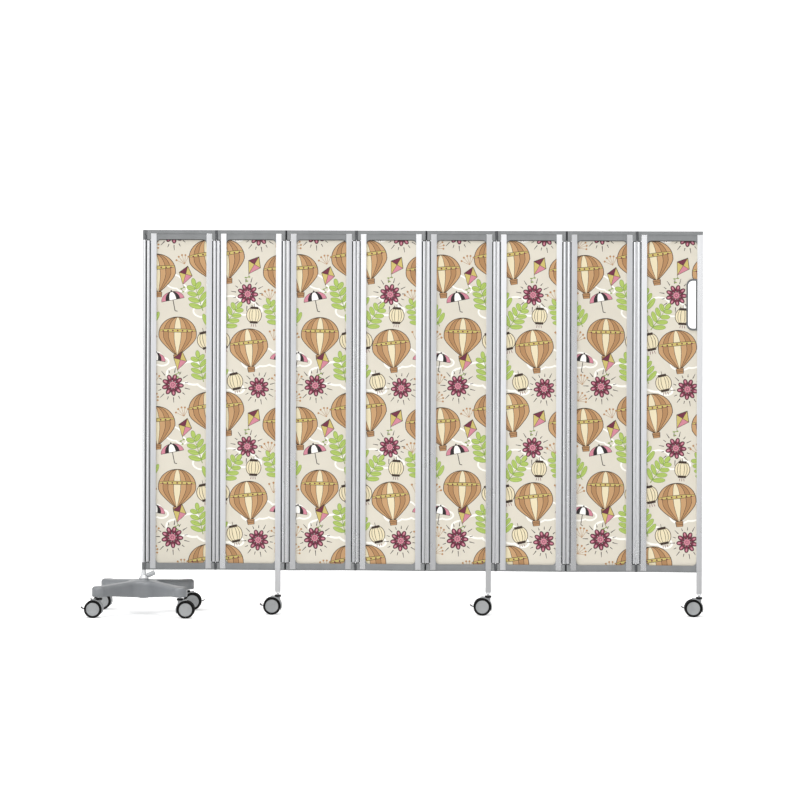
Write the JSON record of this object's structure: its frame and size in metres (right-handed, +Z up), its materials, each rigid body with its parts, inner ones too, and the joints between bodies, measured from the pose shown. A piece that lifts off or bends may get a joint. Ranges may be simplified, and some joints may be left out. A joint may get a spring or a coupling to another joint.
{
  "type": "folding ward privacy screen",
  "caption": "Tall free-standing concertina screen: hinged framed panels with printed infill, a post on a four-armed caster base, caster legs and a hand hole.",
  "frame": {"origin": "on the floor, under the middle of the whole screen as it stands slightly zigzagged", "axes": "+X along the screen from the post towards the handle end, -Y towards the viewer, +Z up"},
  "size_m": [2.6488, 0.406, 1.65],
  "materials": {
    "satin_aluminium": "satin anodised",
    "cap_plastic": "fine moulded grain, mid grey",
    "infill_sheet": "smooth sheet with a printed pattern on both faces",
    "base_paint": "satin grey paint over a casting",
    "foot_paint": "satin light grey",
    "post_steel": "drawn steel rod",
    "caster_plastic": "moulded grey hood",
    "tyre_black": "black tread with a grey hub disc",
    "lever_black": "moulded black",
    "bezel_plastic": "smooth moulded grey"
  },
  "bodies": {
    "base": {"base_casting": "base_paint", "post_foot": "foot_paint", "post_rod": "post_steel", "post_sleeve": "satin_aluminium"},
    "panel_1": {"panel_1_frame": "satin_aluminium", "panel_1_infill": "infill_sheet", "panel_1_top_cap": "cap_plastic", "panel_1_bottom_cap": "cap_plastic"},
    "panel_2": {"panel_2_frame": "satin_aluminium", "panel_2_infill": "infill_sheet", "panel_2_top_cap": "cap_plastic", "panel_2_bottom_cap": "cap_plastic", "leg_2": "satin_aluminium"},
    "panel_3": {"panel_3_frame": "satin_aluminium", "panel_3_infill": "infill_sheet", "panel_3_top_cap": "cap_plastic", "panel_3_bottom_cap": "cap_plastic"},
    "panel_4": {"panel_4_frame": "satin_aluminium", "panel_4_infill": "infill_sheet", "panel_4_top_cap": "cap_plastic", "panel_4_bottom_cap": "cap_plastic"},
    "panel_5": {"panel_5_frame": "satin_aluminium", "panel_5_infill": "infill_sheet", "panel_5_top_cap": "cap_plastic", "panel_5_bottom_cap": "cap_plastic", "leg_5": "satin_aluminium"},
    "panel_6": {"panel_6_frame": "satin_aluminium", "panel_6_infill": "infill_sheet", "panel_6_top_cap": "cap_plastic", "panel_6_bottom_cap": "cap_plastic"},
    "panel_7": {"panel_7_frame": "satin_aluminium", "panel_7_infill": "infill_sheet", "panel_7_top_cap": "cap_plastic", "panel_7_bottom_cap": "cap_plastic"},
    "panel_8": {"panel_8_frame": "satin_aluminium", "panel_8_infill": "infill_sheet", "panel_8_top_cap": "cap_plastic", "panel_8_bottom_cap": "cap_plastic", "leg_8": "satin_aluminium", "handle_bezel": "bezel_plastic"},
    "swivel_near_left": {"caster_near_left_housing": "caster_plastic"},
    "wheels_near_left": {"caster_near_left_wheels": "tyre_black"},
    "lever_near_left": {"caster_near_left_brake_lever": "lever_black"},
    "swivel_near_right": {"caster_near_right_housing": "caster_plastic"},
    "wheels_near_right": {"caster_near_right_wheels": "tyre_black"},
    "swivel_far_left": {"caster_far_left_housing": "caster_plastic"},
    "wheels_far_left": {"caster_far_left_wheels": "tyre_black"},
    "lever_far_left": {"caster_far_left_brake_lever": "lever_black"},
    "swivel_far_right": {"caster_far_right_housing": "caster_plastic"},
    "wheels_far_right": {"caster_far_right_wheels": "tyre_black"},
    "lever_far_right": {"caster_far_right_brake_lever": "lever_black"},
    "swivel_leg_2": {"caster_leg_2_housing": "caster_plastic"},
    "wheels_leg_2": {"caster_leg_2_wheels": "tyre_black"},
    "lever_leg_2": {"caster_leg_2_brake_lever": "lever_black"},
    "swivel_leg_5": {"caster_leg_5_housing": "caster_plastic"},
    "wheels_leg_5": {"caster_leg_5_wheels": "tyre_black"},
    "lever_leg_5": {"caster_leg_5_brake_lever": "lever_black"},
    "swivel_leg_8": {"caster_leg_8_housing": "caster_plastic"},
    "wheels_leg_8": {"caster_leg_8_wheels": "tyre_black"},
    "lever_leg_8": {"caster_leg_8_brake_lever": "lever_black"}
  },
  "joints": [
    {"name": "post_hinge", "type": "hinge", "parent": "base", "child": "panel_1", "pos_m": [-1.07489, 0, 0.9], "axis": [0, 0, 1], "continuous": true},
    {"name": "panel_hinge_1", "type": "hinge", "parent": "panel_1", "child": "panel_2", "pos_m": [-0.7666, 0.00434, 0.9], "axis": [0, 0, -1], "range_deg": [-6, 100]},
    {"name": "panel_hinge_2", "type": "hinge", "parent": "panel_2", "child": "panel_3", "pos_m": [-0.46577, 0.01221, 0.9], "axis": [0, 0, 1], "range_deg": [-6, 160]},
    {"name": "panel_hinge_3", "type": "hinge", "parent": "panel_3", "child": "panel_4", "pos_m": [-0.16495, 0.00434, 0.9], "axis": [0, 0, -1], "range_deg": [-6, 174]},
    {"name": "panel_hinge_4", "type": "hinge", "parent": "panel_4", "child": "panel_5", "pos_m": [0.13587, 0.01221, 0.9], "axis": [0, 0, 1], "range_deg": [-6, 174]},
    {"name": "panel_hinge_5", "type": "hinge", "parent": "panel_5", "child": "panel_6", "pos_m": [0.4367, 0.00434, 0.9], "axis": [0, 0, -1], "range_deg": [-6, 174]},
    {"name": "panel_hinge_6", "type": "hinge", "parent": "panel_6", "child": "panel_7", "pos_m": [0.73752, 0.01221, 0.9], "axis": [0, 0, 1], "range_deg": [-6, 174]},
    {"name": "panel_hinge_7", "type": "hinge", "parent": "panel_7", "child": "panel_8", "pos_m": [1.03835, 0.00434, 0.9], "axis": [0, 0, -1], "range_deg": [-6, 174]},
    {"name": "swivel_near_left", "type": "hinge", "parent": "base", "child": "swivel_near_left", "pos_m": [-1.24689, -0.172, 0.08], "axis": [0, 0, 1], "continuous": true},
    {"name": "roll_near_left", "type": "hinge", "parent": "swivel_near_left", "child": "wheels_near_left", "pos_m": [-1.27189, -0.172, 0.0375], "axis": [0, 1, 0], "continuous": true},
    {"name": "brake_near_left", "type": "hinge", "parent": "swivel_near_left", "child": "lever_near_left", "pos_m": [-1.28889, -0.172, 0.042], "axis": [0, -1, 0], "range_deg": [0, 18]},
    {"name": "swivel_near_right", "type": "hinge", "parent": "base", "child": "swivel_near_right", "pos_m": [-0.90289, -0.172, 0.08], "axis": [0, 0, 1], "continuous": true},
    {"name": "roll_near_right", "type": "hinge", "parent": "swivel_near_right", "child": "wheels_near_right", "pos_m": [-0.87789, -0.172, 0.0375], "axis": [0, 1, 0], "continuous": true},
    {"name": "swivel_far_left", "type": "hinge", "parent": "base", "child": "swivel_far_left", "pos_m": [-1.24689, 0.172, 0.08], "axis": [0, 0, 1], "continuous": true},
    {"name": "roll_far_left", "type": "hinge", "parent": "swivel_far_left", "child": "wheels_far_left", "pos_m": [-1.27189, 0.172, 0.0375], "axis": [0, 1, 0], "continuous": true},
    {"name": "brake_far_left", "type": "hinge", "parent": "swivel_far_left", "child": "lever_far_left", "pos_m": [-1.28889, 0.172, 0.042], "axis": [0, -1, 0], "range_deg": [0, 18]},
    {"name": "swivel_far_right", "type": "hinge", "parent": "base", "child": "swivel_far_right", "pos_m": [-0.90289, 0.172, 0.08], "axis": [0, 0, 1], "continuous": true},
    {"name": "roll_far_right", "type": "hinge", "parent": "swivel_far_right", "child": "wheels_far_right", "pos_m": [-0.87789, 0.172, 0.0375], "axis": [0, 1, 0], "continuous": true},
    {"name": "brake_far_right", "type": "hinge", "parent": "swivel_far_right", "child": "lever_far_right", "pos_m": [-0.86089, 0.172, 0.042], "axis": [0, 1, 0], "range_deg": [0, 18]},
    {"name": "swivel_leg_2", "type": "hinge", "parent": "panel_2", "child": "swivel_leg_2", "pos_m": [-0.49735, 0.00205, 0.08], "axis": [0, 0, 1], "continuous": true},
    {"name": "roll_leg_2", "type": "hinge", "parent": "swivel_leg_2", "child": "wheels_leg_2", "pos_m": [-0.52235, 0.00205, 0.0375], "axis": [0, 1, 0], "continuous": true},
    {"name": "brake_leg_2", "type": "hinge", "parent": "swivel_leg_2", "child": "lever_leg_2", "pos_m": [-0.53935, 0.00205, 0.042], "axis": [0, -1, 0], "range_deg": [0, 18]},
    {"name": "swivel_leg_5", "type": "hinge", "parent": "panel_5", "child": "swivel_leg_5", "pos_m": [0.40512, 0.0145, 0.08], "axis": [0, 0, 1], "continuous": true},
    {"name": "roll_leg_5", "type": "hinge", "parent": "swivel_leg_5", "child": "wheels_leg_5", "pos_m": [0.38012, 0.0145, 0.0375], "axis": [0, 1, 0], "continuous": true},
    {"name": "brake_leg_5", "type": "hinge", "parent": "swivel_leg_5", "child": "lever_leg_5", "pos_m": [0.36312, 0.0145, 0.042], "axis": [0, -1, 0], "range_deg": [0, 18]},
    {"name": "swivel_leg_8", "type": "hinge", "parent": "panel_8", "child": "swivel_leg_8", "pos_m": [1.3076, 0.00205, 0.08], "axis": [0, 0, 1], "continuous": true},
    {"name": "roll_leg_8", "type": "hinge", "parent": "swivel_leg_8", "child": "wheels_leg_8", "pos_m": [1.28259, 0.00205, 0.0375], "axis": [0, 1, 0], "continuous": true},
    {"name": "brake_leg_8", "type": "hinge", "parent": "swivel_leg_8", "child": "lever_leg_8", "pos_m": [1.2656, 0.00205, 0.042], "axis": [0, -1, 0], "range_deg": [0, 18]}
  ]
}
